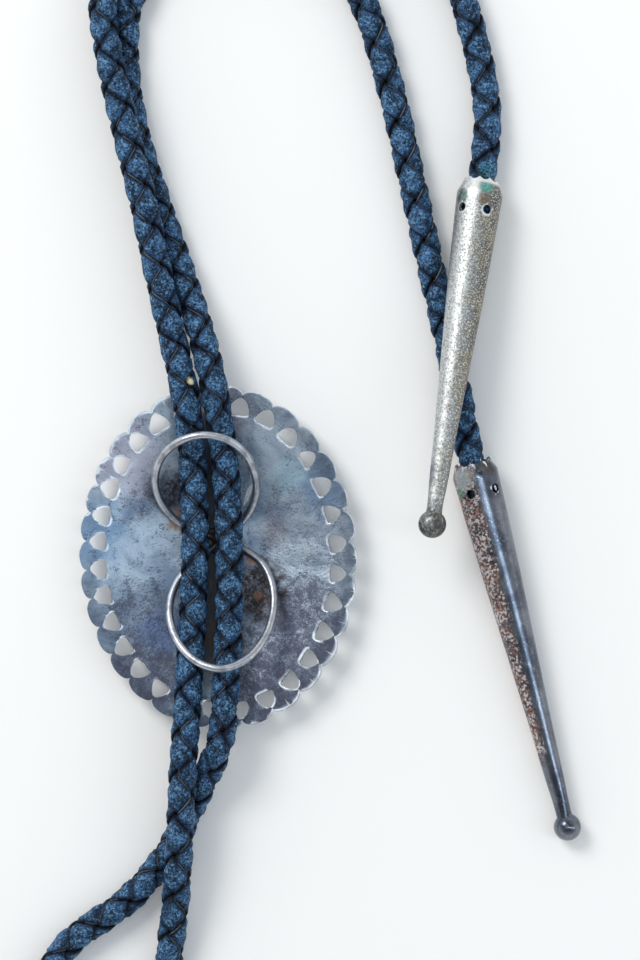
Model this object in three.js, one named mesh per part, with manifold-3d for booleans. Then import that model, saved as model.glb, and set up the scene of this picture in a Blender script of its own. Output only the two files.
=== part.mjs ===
// Bolo tie lying face down: a pierced oval silver slide with a figure-eight wire clip soldered to its
// back, one round braided leather cord through the clip, and a tapered silver tip on each cord end.
// Millimetres, +Z up. The origin is the middle of the slide's flat front, on the surface it rests on.

import * as THREE from "three";
import { mergeVertices } from "three/addons/utils/BufferGeometryUtils.js";
import Module from "manifold-3d";

const wasm = await Module();
wasm.setup();

// Slide plate.
const PLATE_THICKNESS = 1.0;
const PLATE_LEAN_DEG = 2.7; // the plate's long axis leans this far from the cords
const PIERCINGS = 30;
const PIERCING_ELLIPSE = { x: 20.25, y: 25.9 }; // semi-axes of the oval the piercings are centred on
// The piercings were spaced by eye: a little wider apart down one side of the oval, by this share of it.
const CROWDING = 0.0167;
const NOTCH_OUT = 1.75; // from a piercing's centre out to the notch between two lobes
const LOBE_BULGE = 1.25; // a lobe's tip above the line between its notches
const LOBE_STEPS = 6;
const OVAL_TOP = 0.25; // where the top of an oval is, as a share of the way round from its right end
const DISH_ELLIPSE = { x: 23.3, y: 28.9 }; // semi-axes where the dish table below reads 1
const DISH_SEGMENTS = 60;
const CUTTER_DEPTH = 20; // more than twice the height of the dish
// How far the front of the plate stands off the surface, as a share of the oval's semi-axes.
const DISH = [
  { out: 0.3, rise: 0 },
  { out: 0.45, rise: 0.45 },
  { out: 0.6, rise: 1.35 },
  { out: 0.72, rise: 2.3 },
  { out: 0.82, rise: 3.0 },
  { out: 1.04, rise: 3.9 },
];
// A piercing's outline: straight along the inner oval, rounded to a blunt point at the notch.
const PIERCING = [
  { along: 1.1, out: -1.45 },
  { along: 1.6, out: -1.15 },
  { along: 1.55, out: -0.35 },
  { along: 1.05, out: 0.65 },
  { along: 0.35, out: 1.3 },
];

// Figure-eight clip: one wire bent by hand into two loops that cross on the solder pad. Each loop's
// centreline is seen from above, out of the crossing and back to it.
const WIRE = 1.3;
const WIRE_SIDES = 8;
const CROSSING = [0.6, 2.7];
const LOOPS = [
  {
    top: 10.9,
    plan: [
      [3.5, 5.4],
      [5.7, 8.6],
      [6.4, 12.2],
      [5.2, 16.3],
      [2.2, 19.2],
      [-2.1, 20.3],
      [-6.3, 19.2],
      [-9.4, 16.4],
      [-10.5, 12.6],
      [-9.4, 8.8],
      [-6.6, 5.8],
      [-3.0, 4.1],
    ],
  },
  {
    top: 10.9,
    plan: [
      [4.2, 1.2],
      [7.2, -1.0],
      [8.9, -4.4],
      [9.2, -8.6],
      [7.9, -13.0],
      [4.9, -16.6],
      [0.7, -18.2],
      [-3.5, -17.0],
      [-6.7, -13.7],
      [-8.1, -9.3],
      [-7.2, -4.8],
      [-4.3, -1.2],
    ],
  },
];
const LOOP_STEPS = 34;
const LOOP_LIFT = 1.5; // above 1, the loop leaves the plate flat and turns up towards its end
const CROSSING_TAIL = 0.7; // each loop's ends run this far past the crossing
const PAD = { radius: 2.7, topRadius: 2.1, height: 1.5, sides: 15 }; // solder that covers the crossing

// Cord.
const CORD = 4.5;
const CORD_SIDES = 10;
const CORD_STEPS = 84;
const ON_FLOOR = CORD / 2 + 0.15; // height of the centreline where the cord lies on the surface

// Tips, from the shoulder where the mouth turns in to the middle of the ball.
const TIP_WALL = 0.6;
const TIP_SIDES = 20;
const BALL = 2.3;
const BALL_STEPS = 7;
const MOUTH = { lip: 2.9, bore: 2.65, drop: 2.3 };
const HOLES = { count: 5, diameter: 1.6, fromShoulder: 3.2, sides: 8, drillLength: 3 };
// The outer radius along the tip, as a share of the way from shoulder to ball.
const TAPER = [
  { at: 0, radius: 3.8 },
  { at: 0.47, radius: 2.65 },
  { at: 0.72, radius: 1.9 },
  { at: 0.86, radius: 1.58 },
  { at: 0.945, radius: 1.25 },
];
const HOLLOW_ENDS = 0.72; // the hollow stops here on the same scale
const TIPS = [
  { name: "tip_upper", shoulder: [43.6, 60.6, 3.77], ball: [35.4, 5.65, 12.3], firstHoleDeg: 24 },
  { name: "tip_lower", shoulder: [42.8, 14.1, 3.8], ball: [58.3, -45.1, 2.3], firstHoleDeg: 43 },
];

// The cord's centreline from inside the upper tip to inside the lower tip, points chosen by hand.
const ROUTE = [
  [42.2, 51.3, 5.2],
  [44.1, 64.1, 3.3],
  [44.9, 74.5, ON_FLOOR],
  [42.9, 86.0, ON_FLOOR],
  [39.0, 97.5, ON_FLOOR],
  [31.0, 107.5, ON_FLOOR],
  [19.0, 113.5, ON_FLOOR],
  [5.5, 115.0, ON_FLOOR],
  [-7.5, 111.5, ON_FLOOR],
  [-16.5, 103.3, 3.2],
  [-19.2, 93.0, 5.0],
  [-17.8, 82.0, 6.6],
  [-15.2, 70.5, 7.0],
  [-12.3, 58.6, 6.7],
  [-10.1, 48.0, 6.3],
  [-7.5, 36.5, 7.0],
  [-5.4, 27.0, 7.6],
  [-4.4, 18.0, 5.5],
  [-3.9, 8.0, 5.4],
  [-3.9, -2.5, 5.5],
  [-4.5, -14.0, 5.3],
  [-5.1, -25.0, 7.4],
  [-5.8, -36.0, 8.0],
  [-6.3, -46.5, 7.4],
  [-7.1, -57.5, 4.8],
  [-8.3, -68.0, 2.4],
  [-8.4, -79.5, ON_FLOOR],
  [-4.0, -90.5, ON_FLOOR],
  [6.0, -98.5, ON_FLOOR],
  [18.5, -103.5, ON_FLOOR],
  [31.5, -108.5, ON_FLOOR],
  [42.0, -116.5, ON_FLOOR],
  [44.0, -129.0, ON_FLOOR],
  [36.5, -139.5, ON_FLOOR],
  [23.5, -144.7, ON_FLOOR],
  [7.5, -145.5, ON_FLOOR],
  [-8.0, -142.5, ON_FLOOR],
  [-20.5, -134.8, ON_FLOOR],
  [-29.0, -123.0, ON_FLOOR],
  [-33.0, -109.0, ON_FLOOR],
  [-33.8, -94.0, ON_FLOOR],
  [-32.0, -78.5, ON_FLOOR],
  [-25.8, -65.5, ON_FLOOR],
  [-15.3, -57.4, ON_FLOOR],
  [-8.6, -49.6, ON_FLOOR],
  [-3.9, -40.4, 3.2],
  [0.3, -30.8, 7.6],
  [1.2, -23.0, 7.3],
  [1.7, -13.5, 5.5],
  [1.9, -2.5, 5.5],
  [1.7, 8.0, 5.4],
  [0.9, 18.0, 5.4],
  [-0.4, 27.0, 7.6],
  [-2.6, 36.5, 6.2],
  [-6.5, 48.5, 3.0],
  [-10.0, 58.6, ON_FLOOR],
  [-13.7, 70.5, ON_FLOOR],
  [-15.5, 82.0, ON_FLOOR],
  [-14.6, 93.5, ON_FLOOR],
  [-7.5, 103.0, ON_FLOOR],
  [4.0, 107.2, ON_FLOOR],
  [16.0, 103.7, ON_FLOOR],
  [24.0, 93.0, ON_FLOOR],
  [28.7, 78.5, ON_FLOOR],
  [32.4, 62.5, ON_FLOOR],
  [35.4, 48.8, ON_FLOOR],
  [37.9, 38.0, ON_FLOOR],
  [40.3, 26.0, 2.6],
  [41.9, 17.6, 3.8],
  [45.2, 4.9, 3.6],
];

const SLIVER = 0.002; // edges shorter than this are closed up after a join or cut

const silver = (colour, roughness) =>
  new THREE.MeshStandardMaterial({ color: colour, roughness, metalness: 1 });
const PLATE_SILVER = silver(0x8f97a6, 0.42);
const TIP_SILVER = { tip_upper: silver(0xa39c92, 0.4), tip_lower: silver(0x5d6474, 0.25) };
const BLUE_LEATHER = new THREE.MeshStandardMaterial({ color: 0x2c3f5c, roughness: 0.4, metalness: 0.1 });

// Turns a closed three.js geometry into a solid that can be joined and cut.
function solid(geometry) {
  const bare = geometry.clone();
  bare.deleteAttribute("normal");
  bare.deleteAttribute("uv");
  const merged = mergeVertices(bare, 1e-4);
  return new wasm.Manifold(
    new wasm.Mesh({
      numProp: 3,
      vertProperties: merged.attributes.position.array,
      triVerts: new Uint32Array(merged.index.array),
    }),
  );
}

// Turns a solid back into a three.js geometry, without the slivers that joining leaves.
function geometryOf(made) {
  const mesh = made.simplify(SLIVER).getMesh();
  const geometry = new THREE.BufferGeometry();
  geometry.setAttribute("position", new THREE.BufferAttribute(mesh.vertProperties, 3));
  geometry.setIndex(new THREE.BufferAttribute(mesh.triVerts, 1));
  geometry.computeVertexNormals();
  return geometry;
}

function named(name, geometry, material) {
  const mesh = new THREE.Mesh(geometry, material);
  mesh.name = name;
  return mesh;
}

// A polygon with the given corner circle, for the section of a wire or cord.
function roundSection(diameter, sides) {
  const corners = Array.from({ length: sides }, (_, i) => {
    const turn = (2 * Math.PI * i) / sides;
    return new THREE.Vector2(Math.cos(turn), Math.sin(turn)).multiplyScalar(diameter / 2);
  });
  return new THREE.Shape(corners);
}

function tubeAlong(points, diameter, sides, steps) {
  const path = new THREE.CatmullRomCurve3(points, false, "catmullrom", 0.5);
  return new THREE.ExtrudeGeometry(roundSection(diameter, sides), { steps, extrudePath: path });
}

// Centre, outward and sideways directions of every piercing, clockwise from the top of the oval.
function piercingPlaces() {
  const oval = new THREE.EllipseCurve(0, 0, PIERCING_ELLIPSE.x, PIERCING_ELLIPSE.y, 0, 2 * Math.PI);
  return Array.from({ length: PIERCINGS }, (_, i) => {
    const way = i / PIERCINGS;
    const share = way + (CROWDING * (1 - Math.cos(2 * Math.PI * way))) / 2;
    const at = (OVAL_TOP + 1 - share) % 1;
    const centre = oval.getPointAt(at);
    const along = oval.getTangentAt(at);
    const outward = new THREE.Vector2(along.y, -along.x);
    return { centre, outward, along };
  });
}

const offset = (place, along, out) =>
  place.centre.clone().addScaledVector(place.along, along).addScaledVector(place.outward, out);

// The plate's outline: a lobe from each notch to the next, and a piercing inside each notch.
function plateOutline() {
  const places = piercingPlaces();
  const edge = [];
  places.forEach((place, i) => {
    const next = places[(i + 1) % PIERCINGS];
    const from = offset(place, 0, NOTCH_OUT);
    const to = offset(next, 0, NOTCH_OUT);
    const outward = place.outward.clone().add(next.outward).normalize();
    for (let step = 0; step < LOBE_STEPS; step++) {
      const share = step / LOBE_STEPS;
      const bulge = LOBE_BULGE * Math.sqrt(1 - (2 * share - 1) ** 2);
      edge.push(from.clone().lerp(to, share).addScaledVector(outward, bulge));
    }
  });
  const outline = new THREE.Shape(edge.reverse());
  for (const place of places) {
    const right = PIERCING.map(({ along, out }) => offset(place, along, out));
    const left = PIERCING.map(({ along, out }) => offset(place, -along, out)).reverse();
    outline.holes.push(new THREE.Path([...right, ...left]));
  }
  return outline;
}

// A shallow oval dish, flat in the middle, cut to the pierced outline.
function plate() {
  const front = DISH.map(({ out, rise }) => new THREE.Vector2(out, rise));
  const back = front.map((point) => new THREE.Vector2(point.x, point.y + PLATE_THICKNESS)).reverse();
  const profile = [new THREE.Vector2(0, 0), ...front, ...back, new THREE.Vector2(0, PLATE_THICKNESS)];
  const dish = new THREE.LatheGeometry(profile, DISH_SEGMENTS);
  dish.rotateX(Math.PI / 2);
  dish.scale(DISH_ELLIPSE.x, DISH_ELLIPSE.y, 1);
  const cutter = new THREE.ExtrudeGeometry(plateOutline(), { depth: CUTTER_DEPTH, bevelEnabled: false });
  cutter.translate(0, 0, -CUTTER_DEPTH / 2);
  return solid(dish).intersect(solid(cutter)).rotate([0, 0, PLATE_LEAN_DEG]);
}

// One loop of the clip: out of the crossing, round, and back, lifting towards its far end.
function clipLoop({ top, plan }) {
  const low = PLATE_THICKNESS + WIRE / 2;
  const crossing = new THREE.Vector2(...CROSSING);
  const bends = plan.map((point) => new THREE.Vector2(...point));
  const past = (bend) => crossing.clone().sub(bend).setLength(CROSSING_TAIL).add(crossing);
  const line = [past(bends[0]), crossing, ...bends, crossing, past(bends[bends.length - 1])];
  const rise = (point) => Math.abs(point.y - crossing.y);
  const far = Math.max(...bends.map(rise));
  const route = line.map((point) => {
    const share = rise(point) / far;
    return new THREE.Vector3(point.x, point.y, low + (top - low) * share ** LOOP_LIFT);
  });
  return solid(tubeAlong(route, WIRE, WIRE_SIDES, LOOP_STEPS));
}

function slideGeometry() {
  const sunk = PLATE_THICKNESS / 2;
  const pad = new THREE.CylinderGeometry(PAD.topRadius, PAD.radius, PAD.height + sunk, PAD.sides);
  pad.rotateX(Math.PI / 2);
  pad.translate(...CROSSING, PLATE_THICKNESS + (PAD.height - sunk) / 2);
  const made = LOOPS.map(clipLoop).reduce((whole, loop) => whole.add(loop), plate().add(solid(pad)));
  const box = made.boundingBox();
  const middle = [0, 1].map((i) => (box.min[i] + box.max[i]) / 2);
  return geometryOf(made.translate([-middle[0], -middle[1], 0]));
}

// A tip along local +Y with its shoulder at the origin and its top side facing local -Z.
function tipGeometry(length, firstHoleDeg) {
  const at = (radius, way) => new THREE.Vector2(radius, way);
  const outer = TAPER.map((row) => at(row.radius, row.at * length));
  const hollow = TAPER.filter((row) => row.at > 0 && row.at <= HOLLOW_ENDS)
    .map((row) => at(row.radius - TIP_WALL, row.at * length))
    .reverse();
  const neck = TAPER[TAPER.length - 1];
  const ballFrom = Math.asin(neck.radius / BALL);
  const ball = Array.from({ length: BALL_STEPS }, (_, i) => {
    const turn = (Math.PI - ballFrom) * (1 - (i + 1) / BALL_STEPS);
    return at(BALL * Math.sin(turn), length + BALL * Math.cos(turn));
  });
  const profile = [
    at(0, hollow[0].y + TIP_WALL),
    ...hollow,
    at(TAPER[0].radius - TIP_WALL, TIP_WALL),
    at(MOUTH.bore, TIP_WALL / 2 - MOUTH.drop),
    at(MOUTH.lip, -MOUTH.drop),
    ...outer,
    ...ball,
  ];
  let made = solid(new THREE.LatheGeometry(profile, TIP_SIDES));
  for (let i = 0; i < HOLES.count; i++) {
    const across = HOLES.diameter / 2;
    const drill = new THREE.CylinderGeometry(across, across, HOLES.drillLength, HOLES.sides);
    drill.rotateX(Math.PI / 2);
    drill.translate(0, HOLES.fromShoulder, -TAPER[0].radius);
    drill.rotateY(-THREE.MathUtils.degToRad(firstHoleDeg + (360 * i) / HOLES.count));
    made = made.subtract(solid(drill));
  }
  return geometryOf(made);
}

// Places a tip between its shoulder and ball, turned so that its top side faces up.
function tip({ name, shoulder, ball, firstHoleDeg }) {
  const from = new THREE.Vector3(...shoulder);
  const axis = new THREE.Vector3(...ball).sub(from);
  const mesh = named(name, tipGeometry(axis.length(), firstHoleDeg), TIP_SILVER[name]);
  axis.normalize();
  const side = new THREE.Vector3(0, 0, 1).cross(axis).normalize();
  const basis = new THREE.Matrix4().makeBasis(side, axis, side.clone().cross(axis));
  mesh.quaternion.setFromRotationMatrix(basis);
  mesh.position.copy(from);
  return mesh;
}

const route = ROUTE.map((point) => new THREE.Vector3(...point));
const boloTie = new THREE.Group();
boloTie.add(named("slide", slideGeometry(), PLATE_SILVER));
boloTie.add(named("braided_cord", tubeAlong(route, CORD, CORD_SIDES, CORD_STEPS), BLUE_LEATHER));
TIPS.forEach((row) => boloTie.add(tip(row)));

export default boloTie;
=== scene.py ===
import bisect
import math
import random

import bmesh
import bpy
from mathutils import Matrix, Quaternion, Vector


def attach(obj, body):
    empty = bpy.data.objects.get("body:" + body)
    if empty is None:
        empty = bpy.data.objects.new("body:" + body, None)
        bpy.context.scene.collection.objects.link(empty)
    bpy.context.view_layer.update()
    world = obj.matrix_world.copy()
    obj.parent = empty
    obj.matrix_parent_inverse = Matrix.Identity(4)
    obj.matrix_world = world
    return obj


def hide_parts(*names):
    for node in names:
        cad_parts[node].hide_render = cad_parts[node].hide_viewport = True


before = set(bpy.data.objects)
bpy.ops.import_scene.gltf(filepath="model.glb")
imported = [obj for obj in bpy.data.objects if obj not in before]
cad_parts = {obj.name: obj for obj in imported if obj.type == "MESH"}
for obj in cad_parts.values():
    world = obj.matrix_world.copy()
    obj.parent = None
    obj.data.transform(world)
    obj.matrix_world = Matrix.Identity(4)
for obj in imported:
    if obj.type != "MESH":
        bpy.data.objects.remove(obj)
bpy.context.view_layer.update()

MM = 0.001

# ---------------------------------------------------------------------------------------------
# Camera. It looks straight down on the slide and the two tips from 0.6 m, square to the floor,
# so the round heads of both halves of the cord run out of the top of the view.

VIEW_CENTRE = Vector((16.95, 12.9, 4.0)) * MM
VIEW_HEIGHT = 160 * MM
CAMERA_ABOVE = 0.6

bpy.ops.object.camera_add(location=VIEW_CENTRE + Vector((0, 0, CAMERA_ABOVE)), rotation=(0, 0, 0))
camera = bpy.context.object
camera.data.sensor_width = 36
camera.data.lens = camera.data.sensor_width * CAMERA_ABOVE / VIEW_HEIGHT
camera.data.clip_start = 0.01
bpy.context.scene.camera = camera

# ---------------------------------------------------------------------------------------------
# Floor and light. A matt white table, a broad soft key from the upper left, a long strip of sky
# overhead that draws the highlight down each tip, and an even pale room around them.

def plain_material(name, colour, roughness):
    material = bpy.data.materials.new(name)
    material.use_nodes = True
    shader = material.node_tree.nodes["Principled BSDF"]
    shader.inputs["Base Color"].default_value = (*colour, 1)
    shader.inputs["Roughness"].default_value = roughness
    return material


bpy.ops.mesh.primitive_plane_add(size=14, location=(0, 0, 0))
floor = bpy.context.object
floor.name = "floor"
floor.data.materials.append(plain_material("white_table", (0.965, 0.96, 0.945), 0.8))

LIGHTS = [
    {"name": "key", "at": (-0.5, 0.55, 0.75), "size": (0.45, 0.45), "power": 5.8, "colour": (1.0, 0.985, 0.96)},
    {"name": "strip", "at": (0.42, -0.05, 0.72), "size": (0.09, 1.0), "power": 1.5, "colour": (0.72, 0.87, 1.0)},
    {"name": "overhead", "at": (-0.12, 0.2, 1.1), "size": (0.7, 0.7), "power": 1.2, "colour": (1.0, 1.0, 1.0)},
]
for row in LIGHTS:
    bpy.ops.object.light_add(type="AREA", location=row["at"])
    light = bpy.context.object
    light.name = row["name"]
    light.data.shape = "RECTANGLE"
    light.data.size, light.data.size_y = row["size"]
    light.data.energy = row["power"]
    light.data.color = row["colour"]
    towards = VIEW_CENTRE - Vector(row["at"])
    light.rotation_euler = towards.to_track_quat("-Z", "Y").to_euler()

# The room is dim straight overhead and bright low down, so that a rounded piece of metal has dark
# and pale bands along it.
world = bpy.data.worlds.new("pale_room")
bpy.context.scene.world = world
world.use_nodes = True
sky = world.node_tree
direction = sky.nodes.new("ShaderNodeTexCoord")
split = sky.nodes.new("ShaderNodeSeparateXYZ")
bands = sky.nodes.new("ShaderNodeValToRGB")
bands.color_ramp.elements[0].position = 0.15
bands.color_ramp.elements[0].color = (1.0, 0.995, 0.985, 1)
bands.color_ramp.elements[1].position = 0.88
bands.color_ramp.elements[1].color = (0.12, 0.135, 0.155, 1)
sky.links.new(direction.outputs["Generated"], split.inputs[0])
sky.links.new(split.outputs["Z"], bands.inputs["Fac"])
sky.links.new(bands.outputs["Color"], sky.nodes["Background"].inputs["Color"])
sky.nodes["Background"].inputs["Strength"].default_value = 1.18
bpy.context.scene.view_settings.view_transform = "Standard"

# ---------------------------------------------------------------------------------------------
# Cord. Four flat laces of dyed leather plaited round one another into a round cord: two wind one
# way, two the other, and each goes over and under in turn. It is one length from tip to tip.

CORD = 4.5 * MM
LIES_AT = CORD / 2 + 0.15 * MM
LACES = 4
LACE_WIDTH = 4.3 * MM
LACE_THICKNESS = 1.15 * MM
LACE_TURN = 13.6 * MM  # one lace goes once round the cord in this length
LACE_DIP = 0.42 * MM  # how far a lace rises and sinks about its mean radius
STEPS_PER_TURN = 24
BRAID_TURN_DEG = 45  # the plait shows two columns of facets from above
BRAID_DRIFT_DEG, BRAID_DRIFT_STEPS = 28, 70  # and is twisted a little one way and the other
STANDS_PROUD = 0.24 * MM
LACE_CORNERS = 12

# The cord's centreline, from inside the upper tip to inside the lower one, in millimetres.
F = LIES_AT / MM
ROUTE = [
    (42.2, 51.3, 5.2), (44.1, 64.1, 3.3), (44.9, 74.5, F), (42.9, 86.0, F), (39.0, 97.5, F),
    (31.0, 107.5, F), (19.0, 113.5, F), (5.5, 115.0, F), (-7.5, 111.5, F), (-16.5, 103.3, 3.2),
    (-19.2, 93.0, 5.0), (-17.8, 82.0, 6.6), (-15.2, 70.5, 7.0), (-12.3, 58.6, 6.7),
    (-10.1, 48.0, 6.3), (-7.5, 36.5, 7.0), (-5.4, 27.0, 7.6), (-4.4, 18.0, 5.5), (-3.9, 8.0, 5.4),
    (-3.9, -2.5, 5.5), (-4.5, -14.0, 5.3), (-5.1, -25.0, 7.4), (-5.8, -36.0, 8.0),
    (-6.3, -46.5, 7.4), (-7.1, -57.5, 4.8), (-8.3, -68.0, 2.4), (-8.4, -79.5, F),
    (-4.0, -90.5, F), (6.0, -98.5, F), (18.5, -103.5, F), (31.5, -108.5, F), (42.0, -116.5, F),
    (44.0, -129.0, F), (36.5, -139.5, F), (23.5, -144.7, F), (7.5, -145.5, F), (-8.0, -142.5, F),
    (-20.5, -134.8, F), (-29.0, -123.0, F), (-33.0, -109.0, F), (-33.8, -94.0, F),
    (-32.0, -78.5, F), (-25.8, -65.5, F), (-15.3, -57.4, F), (-8.6, -49.6, F), (-3.9, -40.4, 3.2),
    (0.3, -30.8, 7.6), (1.2, -23.0, 7.3), (1.7, -13.5, 5.5), (1.9, -2.5, 5.5), (1.7, 8.0, 5.4),
    (0.9, 18.0, 5.4), (-0.4, 27.0, 7.6), (-2.6, 36.5, 6.2), (-6.5, 48.5, 3.0), (-10.0, 58.6, F),
    (-13.7, 70.5, F), (-15.5, 82.0, F), (-14.6, 93.5, F), (-7.5, 103.0, F), (4.0, 107.2, F),
    (16.0, 103.7, F), (24.0, 93.0, F), (28.7, 78.5, F), (32.4, 62.5, F), (35.4, 48.8, F),
    (37.9, 38.0, F), (40.3, 26.0, 2.6), (41.9, 17.6, 3.8), (45.2, 4.9, 3.6),
]


def smooth_line(points, per_span=16):
    """A Catmull-Rom curve through the points, as a list of closely spaced points."""
    points = [Vector(p) for p in points]
    ends = [2 * points[0] - points[1], *points, 2 * points[-1] - points[-2]]
    line = []
    for a, b, c, d in zip(ends, ends[1:], ends[2:], ends[3:]):
        for i in range(per_span):
            t = i / per_span
            out, back = (c - a) / 2, (d - b) / 2
            line.append(
                b + out * t + (3 * (c - b) - 2 * out - back) * t**2 + (2 * (b - c) + out + back) * t**3
            )
    return [*line, points[-1]]


def even_line(line, step):
    """The same line with points a fixed distance apart."""
    gone = [0.0]
    for a, b in zip(line, line[1:]):
        gone.append(gone[-1] + (b - a).length)
    count = round(gone[-1] / step)
    even, i = [], 0
    for n in range(count + 1):
        way = gone[-1] * n / count
        while i < len(gone) - 2 and gone[i + 1] < way:
            i += 1
        even.append(line[i].lerp(line[i + 1], (way - gone[i]) / (gone[i + 1] - gone[i])))
    return even, gone[-1]


def frames_along(line, up):
    """For each point of the line, directions across it that don't twist as it bends."""
    frames = []
    side = None
    for i, point in enumerate(line):
        ahead = (line[min(i + 1, len(line) - 1)] - line[max(i - 1, 0)]).normalized()
        side = ahead.cross(up) if side is None else side - ahead * side.dot(ahead)
        side.normalize()
        frames.append((point, side.copy(), side.cross(ahead)))
    return frames


cord_line = smooth_line([Vector(p) * MM for p in ROUTE])
cord_points, cord_length = even_line(cord_line, LACE_TURN / STEPS_PER_TURN)
cord_frames = frames_along(cord_points, Vector((0, 0, 1)))


def lace(number):
    """Corner points, faces and values of one lace as it winds along the cord."""
    way_round = 1 if number % 2 == 0 else -1
    start = math.pi * (number // 2) + math.radians(BRAID_TURN_DEG)
    mean_radius = CORD / 2 + STANDS_PROUD - LACE_THICKNESS / 2 - LACE_DIP
    slant = math.atan(2 * math.pi * CORD * 0.44 / LACE_TURN)
    rings = []
    for i in range(len(cord_frames)):
        turn = 2 * math.pi * i / STEPS_PER_TURN
        over = math.cos(2 * turn) * way_round
        twist = math.radians(BRAID_DRIFT_DEG) * math.sin(i / BRAID_DRIFT_STEPS)
        radius = mean_radius + LACE_DIP * math.tanh(2.0 * over) / math.tanh(2.0)
        ring = []
        for corner in range(LACE_CORNERS):
            about = 2 * math.pi * (corner + 0.5) / LACE_CORNERS
            cosine, sine = math.cos(about), math.sin(about)
            across = math.copysign(abs(cosine) ** 0.55, cosine)
            height = math.copysign(abs(sine) ** 0.8, sine)
            sideways = across * LACE_WIDTH / 2
            angle = way_round * turn + start + twist + sideways * math.cos(slant) * way_round / (CORD * 0.44)
            along = -sideways * math.sin(slant)
            where = min(max(i + along / (LACE_TURN / STEPS_PER_TURN), 0), len(cord_frames) - 1.001)
            low = int(where)
            (p0, s0, u0), (p1, s1, u1) = cord_frames[low], cord_frames[low + 1]
            share = where - low
            out = s0.lerp(s1, share) * math.cos(angle) + u0.lerp(u1, share) * math.sin(angle)
            ring.append(p0.lerp(p1, share) + out * (radius + height * LACE_THICKNESS / 2))
        rings.append((ring, over))
    return rings


verts, faces, overs, acrosses, tops, lace_uv = [], [], [], [], [], []
for number in range(LACES):
    rings = lace(number)
    first = len(verts)
    for n, (ring, over) in enumerate(rings):
        verts.extend(ring)
        for corner in range(LACE_CORNERS):
            about = 2 * math.pi * (corner + 0.5) / LACE_CORNERS
            overs.append(over)
            acrosses.append(math.cos(about))
            tops.append(math.sin(about))
            lace_uv.append((number * 10 + 2 * math.cos(about), n / STEPS_PER_TURN * LACE_TURN / MM / 2))
    for n in range(len(rings) - 1):
        for corner in range(LACE_CORNERS):
            a = first + n * LACE_CORNERS + corner
            b = first + n * LACE_CORNERS + (corner + 1) % LACE_CORNERS
            quad = (a, b, b + LACE_CORNERS, a + LACE_CORNERS)
            faces.append(quad if number % 2 == 0 else quad[::-1])
    last = first + (len(rings) - 1) * LACE_CORNERS
    cap = tuple(range(first, first + LACE_CORNERS))
    end = tuple(range(last, last + LACE_CORNERS))
    faces.append(cap[::-1] if number % 2 == 0 else cap)
    faces.append(end if number % 2 == 0 else end[::-1])

mesh = bpy.data.meshes.new("braid")
mesh.from_pydata(verts, [], faces)
braid = bpy.data.objects.new("braid", mesh)
bpy.context.scene.collection.objects.link(braid)
mesh.shade_smooth()
mesh.attributes.new("over", "FLOAT", "POINT").data.foreach_set("value", overs)
mesh.attributes.new("across", "FLOAT", "POINT").data.foreach_set("value", acrosses)
mesh.attributes.new("top", "FLOAT", "POINT").data.foreach_set("value", tops)
lengthwise = mesh.uv_layers.new(name="lengthwise")
for corner in mesh.loops:
    lengthwise.data[corner.index].uv = lace_uv[corner.vertex_index]


class Nodes:
    """Adds nodes to one tree and joins them up."""

    def __init__(self, tree):
        self.tree = tree

    def put(self, where, value):
        if isinstance(value, bpy.types.NodeSocket):
            self.tree.links.new(value, where)
        elif value is not None:
            where.default_value = value

    def node(self, kind, **inputs):
        made = self.tree.nodes.new("ShaderNode" + kind)
        for name, value in inputs.items():
            self.put(made.inputs[name.replace("_", " ")], value)
        return made

    def sum(self, operation, a, b=None, c=None, clamp=False):
        made = self.tree.nodes.new("ShaderNodeMath")
        made.operation, made.use_clamp = operation, clamp
        for socket, value in zip(made.inputs, (a, b, c)):
            self.put(socket, value)
        return made.outputs[0]

    def step(self, value, low, high, first=0.0, last=1.0):
        made = self.tree.nodes.new("ShaderNodeMapRange")
        made.interpolation_type = "SMOOTHSTEP"
        for name, given in zip(("Value", "From Min", "From Max", "To Min", "To Max"), (value, low, high, first, last)):
            self.put(made.inputs[name], given)
        return made.outputs[0]

    def mix(self, share, a, b):
        made = self.tree.nodes.new("ShaderNodeMix")
        made.data_type = "RGBA"
        for socket, value in zip((made.inputs[0], made.inputs[6], made.inputs[7]), (share, a, b)):
            self.put(socket, (*value, 1) if isinstance(value, tuple) else value)
        return made.outputs[2]

    def noise(self, vector, scale, detail=3.0, roughness=0.55, distortion=0.0):
        made = self.node("TexNoise", Vector=vector, Scale=scale, Detail=detail, Roughness=roughness, Distortion=distortion)
        return made.outputs["Fac"]

    def millimetres(self, place=None, turned=None):
        """Object coordinates in millimetres, from a place and turned to a piece's own directions."""
        made = self.tree.nodes.new("ShaderNodeMapping")
        made.vector_type = "TEXTURE"
        made.inputs["Location"].default_value = place or (0, 0, 0)
        made.inputs["Rotation"].default_value = turned or (0, 0, 0)
        made.inputs["Scale"].default_value = (MM, MM, MM)
        self.tree.links.new(self.tree.nodes.new("ShaderNodeTexCoord").outputs["Object"], made.inputs["Vector"])
        return made.outputs[0]

    def group(self, tree, **inputs):
        made = self.tree.nodes.new("ShaderNodeGroup")
        made.node_tree = tree
        for name, value in inputs.items():
            self.put(made.inputs[name.replace("_", " ")], value)
        return made.outputs[0]

    def bump(self, height, strength, distance, below=None):
        made = self.node("Bump", Height=height, Strength=strength, Distance=distance)
        self.put(made.inputs["Normal"], below)
        return made.outputs[0]


def effect(name, inputs, output):
    """A node group with named inputs and one output, and the nodes to fill it with."""
    tree = bpy.data.node_groups.new(name, "ShaderNodeTree")
    for label, kind in inputs.items():
        tree.interface.new_socket(label, in_out="INPUT", socket_type="NodeSocket" + kind)
    tree.interface.new_socket(output, in_out="OUTPUT", socket_type="NodeSocketFloat")
    given = tree.nodes.new("NodeGroupInput")
    result = tree.nodes.new("NodeGroupOutput")
    return tree, Nodes(tree), given.outputs, result.inputs[0]


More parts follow.
